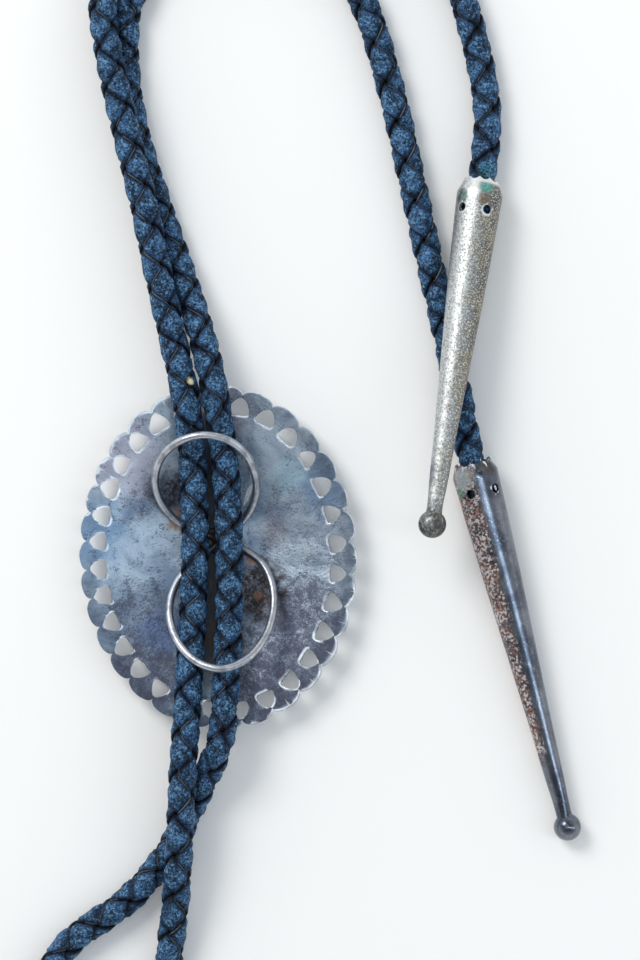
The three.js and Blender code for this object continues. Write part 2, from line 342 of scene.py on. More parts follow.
# Speckle: small sharp-edged flecks, gathered into drifts where Amount is high.
speckle, n, given, result = effect("speckle", {"Vector": "Vector", "Scale": "Float", "Amount": "Float"}, "Mask")
fine = n.noise(given["Vector"], given["Scale"], 3.0, 0.65)
threshold = n.sum("MULTIPLY_ADD", given["Amount"], -0.36, 0.74)
n.put(result, n.step(n.sum("SUBTRACT", fine, threshold), -0.035, 0.05))

# Patch: a soft round area about a centre, broken up at its edge.
patch, n, given, result = effect("patch", {"Vector": "Vector", "Centre": "Vector", "Reach": "Float"}, "Mask")
distance = n.tree.nodes.new("ShaderNodeVectorMath")
distance.operation = "DISTANCE"
n.put(distance.inputs[0], given["Vector"])
n.put(distance.inputs[1], given["Centre"])
ragged = n.sum("MULTIPLY_ADD", n.noise(given["Vector"], 0.55, 4.0, 0.6), 1.1, -0.55)
share = n.sum("ADD", n.sum("DIVIDE", distance.outputs["Value"], given["Reach"]), ragged)
n.put(result, n.step(share, 1.1, 0.45))


def finish(name):
    material = bpy.data.materials.new(name)
    material.use_nodes = True
    return material, Nodes(material.node_tree), material.node_tree.nodes["Principled BSDF"]


leather, n, shader = finish("worn_blue_leather_with_painted_shade")
where = n.millimetres()
over = n.node("Attribute")
over.attribute_name = "over"
across = n.node("Attribute")
across.attribute_name = "across"
face = n.node("Attribute")
face.attribute_name = "top"
uv = n.tree.nodes.new("ShaderNodeUVMap")
uv.uv_map = "lengthwise"
# Each lace goes near black where it dips under its neighbours and along its edges: painted shade in the crevices of
# the plait. Its crowns are worn blue.
crown = n.step(over.outputs["Fac"], -0.5, 0.65)
middle = n.step(n.sum("ABSOLUTE", across.outputs["Fac"]), 1.0, 0.4)
worn = n.sum("MULTIPLY", n.sum("MULTIPLY", crown, middle), n.step(face.outputs["Fac"], 0.0, 0.8))
scuffed = n.step(n.noise(where, 0.55, 5.0, 0.7), 0.36, 0.62)
grain = n.noise(where, 3.4, 3.0, 0.6)
wrinkles = n.noise(uv.outputs[0], 1.6, 4.0, 0.6, 0.6)
wear_and_painted_shade = n.sum("MULTIPLY", worn, n.sum("MULTIPLY_ADD", scuffed, 0.8, 0.2))
wear_and_painted_shade = n.sum("MULTIPLY", wear_and_painted_shade, n.step(grain, 0.36, 0.6, 0.12, 1.0))
lace_colour_with_painted_light = n.mix(wear_and_painted_shade, (0.001, 0.0016, 0.0045), (0.06, 0.165, 0.35))
# Pale flecks on the worn crowns: a painted sheen highlight.
pale = n.group(speckle, Vector=where, Scale=2.2, Amount=n.sum("MULTIPLY_ADD", worn, 0.62, -0.12))
lace_colour_with_painted_light = n.mix(n.sum("MULTIPLY", pale, n.sum("MULTIPLY_ADD", scuffed, 0.38, 0.12)), lace_colour_with_painted_light, (0.21, 0.42, 0.58))
raw_edge = n.sum("MULTIPLY", n.step(across.outputs["Fac"], 0.84, 0.97), n.step(n.noise(where, 0.28, 3.0), 0.42, 0.52))
raw_edge = n.sum("MULTIPLY", raw_edge, n.step(over.outputs["Fac"], -0.2, 0.4))
lace_colour_with_painted_light = n.mix(n.sum("MULTIPLY", raw_edge, 0.6), lace_colour_with_painted_light, (0.24, 0.26, 0.28))
verdigris = n.group(patch, Vector=where, Centre=(44.9, 64.4, 5.8), Reach=1.9)
lace_colour_with_painted_light = n.mix(n.sum("MULTIPLY", verdigris, n.step(grain, 0.42, 0.7, 0.0, 0.7)), lace_colour_with_painted_light, (0.03, 0.24, 0.24))
dab = n.group(patch, Vector=where, Centre=(-4.4, 29.3, 9.4), Reach=0.8)
lace_colour_with_painted_light = n.mix(n.sum("MULTIPLY", dab, n.step(n.noise(where, 1.5, 3.0), 0.38, 0.5)), lace_colour_with_painted_light, (0.62, 0.6, 0.36))
n.put(shader.inputs["Base Color"], lace_colour_with_painted_light)
n.put(shader.inputs["Roughness"], n.step(wear_and_painted_shade, 0.0, 1.0, 0.72, 0.4))
shader.inputs["Specular IOR Level"].default_value = 0.16
pebble = n.bump(grain, 0.55, 0.22 * MM)
n.put(shader.inputs["Normal"], n.bump(wrinkles, 0.5, 0.25 * MM, pebble))
braid.data.materials.append(leather)
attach(braid, "root")
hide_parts("braided_cord")


def deselected(edit=False):
    if bpy.context.object and bpy.context.object.mode == "EDIT":
        bpy.ops.object.mode_set(mode="OBJECT")
    bpy.ops.object.select_all(action="DESELECT")


def settled(piece, *modifiers):
    """Applies the piece's modifiers and its place, and leaves its object at the origin."""
    deselected()
    bpy.context.view_layer.objects.active = piece
    piece.select_set(True)
    for name in modifiers:
        bpy.ops.object.modifier_apply(modifier=name)
    bpy.ops.object.transform_apply(location=True, rotation=True, scale=True)


# ---------------------------------------------------------------------------------------------
# Slide plate. A cast oval of silver, dished, with a lobed rim and one piercing inside each notch.
# Its back is dull and speckled with tarnish, and the edges of the lobes and piercings are rubbed
# bright, with a painted highlight along them, and it is painted near black as shade where the
# cord lies across it. It lies on its face.

PLATE_THICKNESS = 1.0
PLATE_LEAN_DEG = 2.7
PIERCINGS = 30
PIERCING_OVAL = (20.25, 25.9)
CROWDING = 0.0167
NOTCH_OUT = 1.75
LOBE_BULGE = 1.3
DISH_OVAL = (23.3, 28.9)
DISH = [(0, 0), (0.3, 0), (0.45, 0.45), (0.6, 1.35), (0.72, 2.3), (0.82, 3.0), (1.04, 3.9)]
PIERCING = [(1.1, -1.45), (1.6, -1.15), (1.55, -0.35), (1.05, 0.65), (0.35, 1.3)]
CELL_FOOT = -2.7  # the inner edge of each cell of the rim, from the piercing's centre
HALF_LOBE, CELL_SIDE = 10, 5  # points along half a lobe, and down between two cells
DISC_RINGS = 16
EDGE_BAND = 0.32  # the rubbed edges are kept within this band of the cut
random.seed(11)


def oval_points(semi, count=2880):
    """Points evenly along an oval, clockwise from its top."""
    line = [
        Vector((semi[0] * math.sin(2 * math.pi * i / count), semi[1] * math.cos(2 * math.pi * i / count)))
        for i in range(count + 1)
    ]
    gone = [0.0]
    for a, b in zip(line, line[1:]):
        gone.append(gone[-1] + (b - a).length)
    return line, gone


def at_share(line, gone, share):
    way = share % 1 * gone[-1]
    i = min(bisect.bisect_right(gone, way), len(line) - 1)
    return line[i - 1].lerp(line[i], (way - gone[i - 1]) / (gone[i] - gone[i - 1]))


def dish_height(x, y):
    out = math.hypot(x / DISH_OVAL[0], y / DISH_OVAL[1])
    for k in range(len(DISH) - 1):
        if out <= DISH[k + 1][0] or k == len(DISH) - 2:
            (x0, y0), (x1, y1) = DISH[k], DISH[k + 1]
            before, after = DISH[max(k - 1, 0)], DISH[min(k + 2, len(DISH) - 1)]
            m0 = (y1 - before[1]) / (x1 - before[0]) if k else 0
            m1 = (after[1] - y0) / (after[0] - x0)
            t, span = min((out - x0) / (x1 - x0), 1.2), x1 - x0
            return (
                (2 * t**3 - 3 * t**2 + 1) * y0 + (t**3 - 2 * t**2 + t) * span * m0
                + (3 * t**2 - 2 * t**3) * y1 + (t**3 - t**2) * span * m1
            )


oval, oval_gone = oval_points(PIERCING_OVAL)
places = []
for i in range(PIERCINGS):
    way = i / PIERCINGS
    share = way + CROWDING * (1 - math.cos(2 * math.pi * way)) / 2
    centre = at_share(oval, oval_gone, share)
    along = (at_share(oval, oval_gone, share + 0.001) - at_share(oval, oval_gone, share - 0.001)).normalized()
    places.append((centre, along, Vector((-along.y, along.x))))


def from_place(place, along, out):
    return place[0] + place[1] * along + place[2] * out


def half_lobe(place, other, side):
    """Points from a notch to the tip of the lobe on one side of it."""
    start, stop = from_place(place, 0, NOTCH_OUT), from_place(other, 0, NOTCH_OUT)
    outward = (place[2] + other[2]).normalized()
    points = []
    for k in range(HALF_LOBE + 1):
        turn = math.pi / 2 * k / HALF_LOBE
        share = (1 - math.cos(turn)) / 2
        points.append(start.lerp(stop, share) + outward * LOBE_BULGE * math.sin(turn))
    return points


def between(a, b, count):
    return [a.lerp(b, k / count) for k in range(1, count)]


deselected()
cells = []
for i, place in enumerate(places):
    after, before = places[(i + 1) % PIERCINGS], places[i - 1]
    right, left = half_lobe(place, after, 1), half_lobe(place, before, -1)
    foot_right = from_place(place, 0, CELL_FOOT).lerp(from_place(after, 0, CELL_FOOT), 0.5)
    foot_left = from_place(place, 0, CELL_FOOT).lerp(from_place(before, 0, CELL_FOOT), 0.5)
    edge = (
        right + between(right[-1], foot_right, CELL_SIDE)
        + [foot_right] + between(foot_right, foot_left, HALF_LOBE) + [foot_left]
        + between(foot_left, left[-1], CELL_SIDE) + left[:0:-1]
    )
    grow, turn, shift = random.uniform(0.9, 1.06), random.uniform(-0.12, 0.12), random.uniform(-0.12, 0.12)
    blunt = random.uniform(0.85, 1.0)
    corners = [(0, 1.38)] + PIERCING[::-1] + [(0, -1.5)] + [(-a, o) for a, o in PIERCING]
    hole = []
    for a, o in corners:
        a, o = a * grow * random.uniform(0.93, 1.05), min(o * (grow if o < 0 else blunt), 1.36)
        a, o = a * math.cos(turn) - o * math.sin(turn), a * math.sin(turn) + o * math.cos(turn)
        hole.append(from_place(place, a + shift, min(o, 1.4)).to_3d())
    # The points' order follows the cell's edge, and the curve is closed through its own start.
    ring_line = smooth_line([hole[-2], hole[-1], *hole, hole[0], hole[1]], 8)[16:-8]
    gone = [0.0]
    for a, b in zip(ring_line, ring_line[1:]):
        gone.append(gone[-1] + (b - a).length)
    rim = [at_share(ring_line, gone, k / len(edge)) for k in range(len(edge))]
    cells.append((rim, edge))

ROUND = len(cells[0][1])
mesh = bpy.data.meshes.new("plate")
bm = bmesh.new()
for rim, edge in cells:
    inner = [bm.verts.new((p.x, p.y, 0)) for p in rim]
    bands = [inner]
    for share, nearest in ((0.0, 1), (0.5, 0), (1.0, -1)):
        ring = []
        for p, q in zip(rim, edge):
            p, q = Vector((p.x, p.y, 0)), Vector((q.x, q.y, 0))
            ring.append(bm.verts.new(p.lerp(q, share + nearest * min(EDGE_BAND / (q - p).length, 0.33))))
        bands.append(ring)
    bands.append([bm.verts.new((q.x, q.y, 0)) for q in edge])
    for near, far in zip(bands, bands[1:]):
        for k in range(ROUND):
            m = (k + 1) % ROUND
            bm.faces.new((near[k], far[k], far[m], near[m]))
bmesh.ops.remove_doubles(bm, verts=bm.verts, dist=0.02)
bm.to_mesh(mesh)
bm.free()
plate = bpy.data.objects.new("plate", mesh)
bpy.context.scene.collection.objects.link(plate)
bpy.context.view_layer.objects.active = plate
plate.select_set(True)

# The middle is drawn in ring by ring from the feet of the cells and closed at its centre.
bpy.ops.object.mode_set(mode="EDIT")
bpy.ops.mesh.select_mode(type="EDGE")
bpy.ops.mesh.select_all(action="DESELECT")
edit = bmesh.from_edit_mesh(mesh)
for line in edit.edges:
    mid = (line.verts[0].co + line.verts[1].co) / 2
    if line.is_boundary and math.hypot(mid.x / PIERCING_OVAL[0], mid.y / PIERCING_OVAL[1]) < 0.9:
        line.select = True
bmesh.update_edit_mesh(mesh)
reach = 1.0
for k in range(DISC_RINGS):
    smaller = 1.0 - (k + 1) / (DISC_RINGS + 0.5)
    bpy.ops.mesh.extrude_edges_move(TRANSFORM_OT_translate={"value": (0, 0, 0)})
    bpy.ops.transform.resize(value=(smaller / reach, smaller / reach, 1), center_override=(0, 0, 0))
    reach = smaller
bpy.ops.mesh.merge(type="COLLAPSE")
bpy.ops.mesh.select_all(action="SELECT")
bpy.ops.mesh.remove_doubles(threshold=0.005)
bpy.ops.mesh.normals_make_consistent(inside=False)
bpy.ops.object.mode_set(mode="OBJECT")
if sum(f.normal.z for f in mesh.polygons) < 0:
    bpy.ops.object.mode_set(mode="EDIT")
    bpy.ops.mesh.flip_normals()
    bpy.ops.object.mode_set(mode="OBJECT")
for v in mesh.vertices:
    x, y = v.co.x, v.co.y
    uneven = 0.05 * math.sin(0.9 * x + 0.5 * y) * math.sin(0.7 * y - 0.3 * x)
    v.co.z = max(dish_height(x, y) + uneven * min(dish_height(x, y), 1), 0)
wall = plate.modifiers.new("wall", "SOLIDIFY")
wall.thickness, wall.offset = PLATE_THICKNESS, 1.0
rub = plate.modifiers.new("rub", "BEVEL")
rub.width, rub.segments, rub.limit_method, rub.angle_limit = 0.17, 3, "ANGLE", math.radians(50)
# The plate's middle is put where its box's middle is, as the clip and the cord are placed from it.
plate_turn = Matrix.Rotation(math.radians(PLATE_LEAN_DEG), 4, "Z")
turned = [plate_turn @ v.co for v in mesh.vertices]
middle_x = (min(p.x for p in turned) + max(p.x for p in turned)) / 2
middle_y = (min(p.y for p in turned) + max(p.y for p in turned)) / 2
slide_shift = Vector((-middle_x, -middle_y, 0))
plate.matrix_world = Matrix.Scale(MM, 4) @ Matrix.Translation(slide_shift) @ plate_turn
settled(plate, "wall", "rub")
bpy.ops.object.shade_smooth_by_angle(angle=math.radians(40))

tarnished, n, shader = finish("tarnished_silver_back_with_painted_light")
where = n.millimetres()
cloud = n.noise(where, 0.16, 5.0, 0.62, 0.5)
drift = n.noise(where, 0.42, 5.0, 0.7)
silver = n.mix(n.step(cloud, 0.35, 0.66), (0.2, 0.27, 0.37), (0.46, 0.55, 0.64))
# Darker drifts: down the right of the clip, at the lower left and along the bottom.
dark = None
for centre, reach, strength in (
    ((14.0, 2.0, 2.0), 9.0, 0.3), ((13.5, -12.0, 3.0), 11.0, 0.95), ((-13.0, -11.0, 2.5), 8.0, 0.6),
    ((9.0, -22.0, 4.0), 10.0, 1.0), ((-12.5, -20.0, 4.0), 9.0, 0.9), ((-12.0, 9.0, 2.0), 5.0, 0.3),
    ((12.0, 9.0, 2.0), 5.0, 0.3), ((4.0, 26.0, 4.0), 5.0, 0.3),
):
    one = n.sum("MULTIPLY", n.group(patch, Vector=where, Centre=centre, Reach=reach), strength)
    dark = one if dark is None else n.sum("MAXIMUM", dark, one)
dark = n.sum("MULTIPLY", dark, n.step(drift, 0.3, 0.6, 0.7, 1.0))
silver = n.mix(n.sum("MULTIPLY", dark, 0.78), silver, (0.11, 0.13, 0.19))
for centre, reach, colour, strength in (
    ((-15.5, 16.5, 4.0), 8.0, (0.56, 0.55, 0.64), 0.7), ((0.0, 24.0, 4.0), 6.0, (0.42, 0.33, 0.34), 0.5),
    ((-22.0, 4.0, 4.0), 8.0, (0.2, 0.34, 0.52), 0.7), ((19.0, 13.0, 4.0), 7.0, (0.2, 0.32, 0.48), 0.6),
    ((-9.5, -12.5, 2.0), 4.5, (0.16, 0.24, 0.46), 0.7), ((12.0, 14.0, 2.0), 4.0, (0.42, 0.62, 0.72), 0.6),
    ((9.5, 4.5, 1.0), 3.2, (0.26, 0.2, 0.2), 0.35),
):
    area = n.group(patch, Vector=where, Centre=centre, Reach=reach)
    silver = n.mix(n.sum("MULTIPLY", area, strength), silver, colour)
amount = n.sum("MULTIPLY_ADD", dark, 0.55, n.sum("MULTIPLY_ADD", n.step(drift, 0.45, 0.7), 0.5, 0.12))
flecks = n.group(speckle, Vector=where, Scale=3.3, Amount=n.sum("ADD", amount, 0.16))
spot = n.tree.nodes.new("ShaderNodeSeparateXYZ")
n.put(spot.inputs[0], where)
outward = n.sum("SQRT", n.sum(
    "ADD", n.sum("POWER", n.sum("DIVIDE", spot.outputs["X"], DISH_OVAL[0]), 2.0),
    n.sum("POWER", n.sum("DIVIDE", n.sum("ABSOLUTE", spot.outputs["Y"]), DISH_OVAL[1]), 2.0),
))
rim_tone = n.sum("MULTIPLY", n.step(outward, 0.74, 0.95), n.step(n.noise(where, 0.3, 4.0, 0.6), 0.3, 0.62, 0.4, 0.85))
rim_tone = n.sum("MULTIPLY", rim_tone, n.step(n.sum("SUBTRACT", spot.outputs["X"], spot.outputs["Y"]), -34.0, 2.0, 0.4, 1.0))
silver = n.mix(rim_tone, silver, (0.07, 0.092, 0.13))
# Near black and less metallic under and between the two halves of the cord: painted shade.
painted_shade_under_cord = n.sum("MULTIPLY", n.step(n.sum("ABSOLUTE", n.sum("ADD", spot.outputs["X"], 1.0)), 4.2, 1.0),
                   n.step(n.sum("ABSOLUTE", spot.outputs["Y"]), 24.0, 15.0))
silver = n.mix(n.sum("MULTIPLY", painted_shade_under_cord, 0.93), silver, (0.004, 0.005, 0.008))
silver = n.mix(n.sum("MULTIPLY", flecks, 0.55), silver, (0.06, 0.066, 0.105))
coarse = n.group(speckle, Vector=where, Scale=1.1, Amount=n.sum("MULTIPLY", dark, 0.75))
silver = n.mix(n.sum("MULTIPLY", coarse, 0.42), silver, (0.06, 0.05, 0.08))
broken = n.step(n.noise(where, 1.5, 4.0, 0.7), 0.34, 0.6, 0.6, 0.97)
for centre, reach, colour in (
    ((-8.3, 11.2, 1.0), 4.6, (0.03, 0.028, 0.04)), ((-6.6, 6.2, 1.0), 2.4, (0.3, 0.17, 0.09)),
    ((6.2, -5.5, 1.0), 6.3, (0.028, 0.017, 0.014)), ((5.4, -0.6, 1.0), 1.1, (0.3, 0.16, 0.08)),
    ((6.6, -6.4, 1.0), 0.9, (0.2, 0.1, 0.055)), ((1.0, -14.0, 1.0), 4.2, (0.05, 0.03, 0.028)),
):
    area = n.sum("MULTIPLY", n.group(patch, Vector=where, Centre=centre, Reach=reach), broken)
    silver = n.mix(area, silver, colour)
# The cut edges are pale: rubbed bright, and the same pale colour is a painted highlight along them.
edges = n.step(n.node("NewGeometry").outputs["Pointiness"], 0.55, 0.64)
rubbed_edges_and_highlight = n.sum("MULTIPLY", edges, n.step(n.noise(where, 0.3, 3.0), 0.36, 0.6, 0.25, 1.0))
silver = n.mix(rubbed_edges_and_highlight, silver, (0.72, 0.78, 0.84))
n.put(shader.inputs["Base Color"], silver)
n.put(shader.inputs["Metallic"], n.sum("MULTIPLY_ADD", painted_shade_under_cord, -0.65, 0.72))
n.put(shader.inputs["Roughness"], n.sum("MULTIPLY_ADD", flecks, 0.2, n.step(rubbed_edges_and_highlight, 0.0, 1.0, 0.43, 0.28)))
pits = n.bump(n.noise(where, 2.9, 3.0, 0.65), 0.35, 0.12 * MM)
n.put(shader.inputs["Normal"], n.bump(cloud, 0.5, 0.6 * MM, pits))
plate.data.materials.append(tarnished)
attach(plate, "root")

# ---------------------------------------------------------------------------------------------
# Clip. One silver wire bent into two loops that cross on a blob of solder at the plate's middle.
# The loops lift off the plate towards its ends and hold both halves of the cord down.

WIRE = 1.3
CROSSING = (0.6, 2.7)
LOOP_LIFT = 1.5
LOOP_TOP = 10.9
CROSSING_TAIL = 0.7
LOOPS = {
    "clip_upper_loop": [
        (3.5, 5.4), (5.7, 8.6), (6.4, 12.2), (5.2, 16.3), (2.2, 19.2), (-2.1, 20.3), (-6.3, 19.2),
        (-9.4, 16.4), (-10.5, 12.6), (-9.4, 8.8), (-6.6, 5.8), (-3.0, 4.1),
    ],
    "clip_lower_loop": [
        (4.2, 1.2), (7.2, -1.0), (8.9, -4.4), (9.2, -8.6), (7.9, -13.0), (4.9, -16.6), (0.7, -18.2),
        (-3.5, -17.0), (-6.7, -13.7), (-8.1, -9.3), (-7.2, -4.8), (-4.3, -1.2),
    ],
}
SOLDER = {"radius": 2.7, "height": 1.5}

worn_wire, n, shader = finish("worn_silver_wire")
where = n.millimetres()
grime = n.step(n.noise(where, 0.5, 4.0, 0.6), 0.42, 0.68)
wire_colour = n.mix(grime, (0.5, 0.53, 0.58), (0.26, 0.28, 0.32))
wire_flecks = n.group(speckle, Vector=where, Scale=2.2, Amount=0.2)
wire_colour = n.mix(n.sum("MULTIPLY", wire_flecks, 0.6), wire_colour, (0.1, 0.1, 0.13))
depth = n.tree.nodes.new("ShaderNodeSeparateXYZ")
n.put(depth.inputs[0], where)
down = n.step(depth.outputs["Z"], 3.5, 1.2)
wire_colour = n.mix(n.sum("MULTIPLY", down, 0.85), wire_colour, (0.05, 0.042, 0.042))
# Near black about the crossing and the solder, between the two halves of the cord: painted shade.
painted_shade_at_crossing = n.group(patch, Vector=where, Centre=(0.6, 2.7, 2.2), Reach=4.2)
wire_colour = n.mix(n.sum("MULTIPLY", painted_shade_at_crossing, 0.85), wire_colour, (0.03, 0.028, 0.03))
n.put(shader.inputs["Base Color"], wire_colour)
shader.inputs["Metallic"].default_value = 0.95
n.put(shader.inputs["Roughness"], n.step(grime, 0.0, 1.0, 0.33, 0.45))
n.put(shader.inputs["Normal"], n.bump(n.noise(where, 1.4, 4.0, 0.6), 0.3, 0.12 * MM))

clip = []
for name, plan in LOOPS.items():
    crossing = Vector(CROSSING)
    bends = [Vector(p) for p in plan]
    tails = [crossing + (crossing - bend).normalized() * CROSSING_TAIL for bend in (bends[0], bends[-1])]
    line = [tails[0], crossing, *bends, crossing, tails[1]]
    far = max(abs(p.y - crossing.y) for p in bends)
    low_at = PLATE_THICKNESS + WIRE / 2
    raised = [
        Vector((p.x, p.y, low_at + (LOOP_TOP - low_at) * (abs(p.y - crossing.y) / far) ** LOOP_LIFT)) + slide_shift
        for p in line
    ]
    points, _ = even_line(smooth_line(raised, 12), 0.5)
    deselected()
    bpy.ops.curve.primitive_nurbs_path_add()
    wire = bpy.context.object
    wire.name = name
    wire.data.splines.clear()
    spline = wire.data.splines.new("POLY")
    spline.points.add(len(points) - 1)
    for point, given_at in zip(spline.points, points):
        point.co = (*(given_at * MM), 1)
    wire.data.bevel_depth, wire.data.bevel_resolution, wire.data.use_fill_caps = WIRE / 2 * MM, 6, True
    bpy.ops.object.convert(target="MESH")
    settled(wire)
    bpy.ops.object.shade_smooth_by_angle(angle=math.radians(60))
    clip.append(wire)

deselected()
bpy.ops.mesh.primitive_uv_sphere_add(segments=40, ring_count=20, radius=SOLDER["radius"] * MM)
solder = bpy.context.object
solder.name = "solder"
solder.location = (Vector((*CROSSING, PLATE_THICKNESS - 0.1)) + slide_shift) * MM
solder.scale.z = SOLDER["height"] / SOLDER["radius"]
for v in solder.data.vertices:
    about = math.atan2(v.co.y, v.co.x)
    v.co *= 1 + 0.05 * math.sin(3 * about) + 0.03 * math.sin(5 * about + 1)
settled(solder)
bpy.ops.object.mode_set(mode="EDIT")
bpy.ops.mesh.select_all(action="SELECT")
bpy.ops.mesh.bisect(
    plane_co=(0, 0, PLATE_THICKNESS / 2 * MM), plane_no=(0, 0, 1), use_fill=True, clear_inner=True
)
bpy.ops.object.mode_set(mode="OBJECT")
bpy.ops.object.shade_smooth_by_angle(angle=math.radians(40))
clip.append(solder)
for piece in clip:
    piece.data.materials.append(worn_wire)
    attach(piece, "root")
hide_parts("slide")
for piece in clip:
    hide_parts("slide")

# ---------------------------------------------------------------------------------------------
# Tips. Each is a tapered silver tube drawn on a mandrel, drilled with five holes below the
# shoulder, its mouth cut into scallops and bent in on the cord, with a ball on its small end.

TIP_SIDES = 80
TIP_WALL = 0.5
FINE_STEP, FINE_UNTIL, COARSE_STEP = 0.4, 7.0, 2.0  # rings along the tip, close together by its holes
BALL = 2.3
MOUTH = {"lip": 2.85, "bore": 2.6, "drop": 2.3}
HOLES = {"count": 5, "across": 1.6, "from_shoulder": 3.2}
SCALLOPS = {"count": 10, "across": 1.9}
TAPER = [(0, 3.8), (0.02, 3.8), (0.25, 3.3), (0.47, 2.65), (0.72, 1.9), (0.86, 1.58), (0.945, 1.25)]
TIPS = {
    "upper_tip": {"node": "tip_upper", "slot": "warm_silver", "shoulder": (43.6, 60.6, 3.77),
                  "ball": (35.4, 5.65, 12.3), "first_hole_deg": 24, "scallop_at": -2.85},
    "lower_tip": {"node": "tip_lower", "slot": "dark_silver", "shoulder": (42.8, 14.1, 3.8),
                  "ball": (58.3, -45.1, 2.3), "first_hole_deg": 43, "scallop_at": -2.4},
}


def tip_directions(row):
    """The tip's own directions: across, along to the ball, and up."""
    shoulder, ball = Vector(row["shoulder"]), Vector(row["ball"])
    axis = (ball - shoulder).normalized()
    up = (Vector((0, 0, 1)) - axis * axis.z).normalized()
    return shoulder, (ball - shoulder).length, Matrix((axis.cross(up), axis, up)).transposed()


def tip_profile(length):
    """Radius and distance along, from the bottom of the hollow out of the mouth and on to the ball."""
    outer = [(TAPER[0][1], 0)]
    for p in smooth_line([(radius, share * length, 0) for share, radius in TAPER], 40):
        if p.y - outer[-1][1] > (FINE_STEP if p.y < FINE_UNTIL else COARSE_STEP):
            outer.append((p.x, p.y))
    inner = [(r - TIP_WALL, y) for r, y in outer if TIP_WALL < y < 0.72 * length][::-1]
    lip = [
        (TAPER[0][1] - TIP_WALL, 0.3), (MOUTH["bore"] + 0.5, -0.8), (MOUTH["bore"], 0.15 - MOUTH["drop"]),
        (MOUTH["bore"] + 0.05, -MOUTH["drop"]), (MOUTH["lip"], -MOUTH["drop"]),
        (MOUTH["lip"] + 0.28, -1.55), (MOUTH["lip"] + 0.62, -0.75), (TAPER[0][1] - 0.12, -0.28),
    ]
    neck = TAPER[-1][1]
    start = math.asin(neck / BALL)
    flare = [(neck + 0.04, length * 0.945 + 0.5)]
    ball = []
    for k in range(1, 15):
        turn = math.pi - start * 1.08 - (math.pi - start * 1.08) * (k - 1) / 14
        ball.append((BALL * math.sin(turn), length + BALL * math.cos(turn)))
    ball = [p for p in ball if p[1] > flare[0][1] + 0.05]
    return [(inner[0][0] * 0.5, inner[0][1] + 0.5), *inner, *lip, *outer, *flare, *ball]


tips = {}
for name, row in TIPS.items():
    shoulder, length, directions = tip_directions(row)
    profile = tip_profile(length)
    deselected()
    radius, y = profile[0]
    bpy.ops.mesh.primitive_circle_add(
        vertices=TIP_SIDES, radius=radius, location=(0, y, 0), rotation=(math.pi / 2, 0, 0), fill_type="TRIFAN"
    )
    tip = bpy.context.object
    tip.name = name
    bpy.ops.object.transform_apply(location=True, rotation=True, scale=True)
    bpy.ops.object.mode_set(mode="EDIT")
    bpy.ops.mesh.select_mode(type="EDGE")
    bpy.ops.mesh.select_all(action="DESELECT")
    edit = bmesh.from_edit_mesh(tip.data)
    for line in edit.edges:
        line.select = line.is_boundary
    bmesh.update_edit_mesh(tip.data)
    for (r0, y0), (r1, y1) in zip(profile, profile[1:]):
        bpy.ops.mesh.extrude_edges_move(TRANSFORM_OT_translate={"value": (0, y1 - y0, 0)})
        bpy.ops.transform.resize(value=(r1 / r0, 1, r1 / r0), center_override=(0, y1, 0))
    bpy.ops.mesh.extrude_edges_move(TRANSFORM_OT_translate={"value": (0, length + BALL - profile[-1][1], 0)})
    bpy.ops.mesh.merge(type="COLLAPSE")
    bpy.ops.mesh.select_all(action="SELECT")
    bpy.ops.mesh.normals_make_consistent(inside=False)
    bpy.ops.object.mode_set(mode="OBJECT")
    drills = []
    for count, across_, at_y, first, reach in (
        (HOLES["count"], HOLES["across"], HOLES["from_shoulder"], row["first_hole_deg"], 3.7),
        (SCALLOPS["count"], SCALLOPS["across"], row["scallop_at"], 8.0, 3.4),
    ):
        for k in range(count):
            turn = math.radians(first + 360 * k / count)
            outward = Vector((-math.sin(turn), 0, math.cos(turn)))
            deselected()
            bpy.ops.mesh.primitive_cylinder_add(vertices=28, radius=across_ / 2, depth=3.2)
            drill = bpy.context.object
            drill.matrix_world = Matrix.Translation(outward * reach + Vector((0, at_y, 0))) @ outward.to_track_quat(
                "Z", "Y"
            ).to_matrix().to_4x4()
            drills.append(drill)
    for first_drill, group in ((drills[0], drills[: HOLES["count"]]), (drills[HOLES["count"]], drills[HOLES["count"] :])):
        for drill in group[::2] + group[1::2]:
            cut = tip.modifiers.new("cut", "BOOLEAN")
            cut.operation, cut.solver, cut.object = "DIFFERENCE", "EXACT", drill
            settled(tip, "cut")
    for drill in drills:
        bpy.data.objects.remove(drill)
    rub = tip.modifiers.new("rub", "BEVEL")
    rub.width, rub.segments, rub.limit_method, rub.angle_limit = 0.09, 2, "ANGLE", math.radians(48)
    settled(tip, "rub")
    tip.matrix_world = Matrix.Scale(MM, 4) @ Matrix.Translation(shoulder) @ directions.to_4x4()
    settled(tip)
    bpy.ops.object.shade_smooth_by_angle(angle=math.radians(38))
    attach(tip, "root")
    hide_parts(row["node"])
    tips[name] = (tip, shoulder * MM, directions.to_euler())

# Warm, grainy, pale silver, with painted shade down its left edge, stained green at the mouth, and a painted highlight
# along its cut edges.
upper_tip, place, turned = tips["upper_tip"]
grainy, n, shader = finish("grainy_pale_silver")
where = n.millimetres(place, turned)
own = n.tree.nodes.new("ShaderNodeSeparateXYZ")
n.put(own.inputs[0], where)
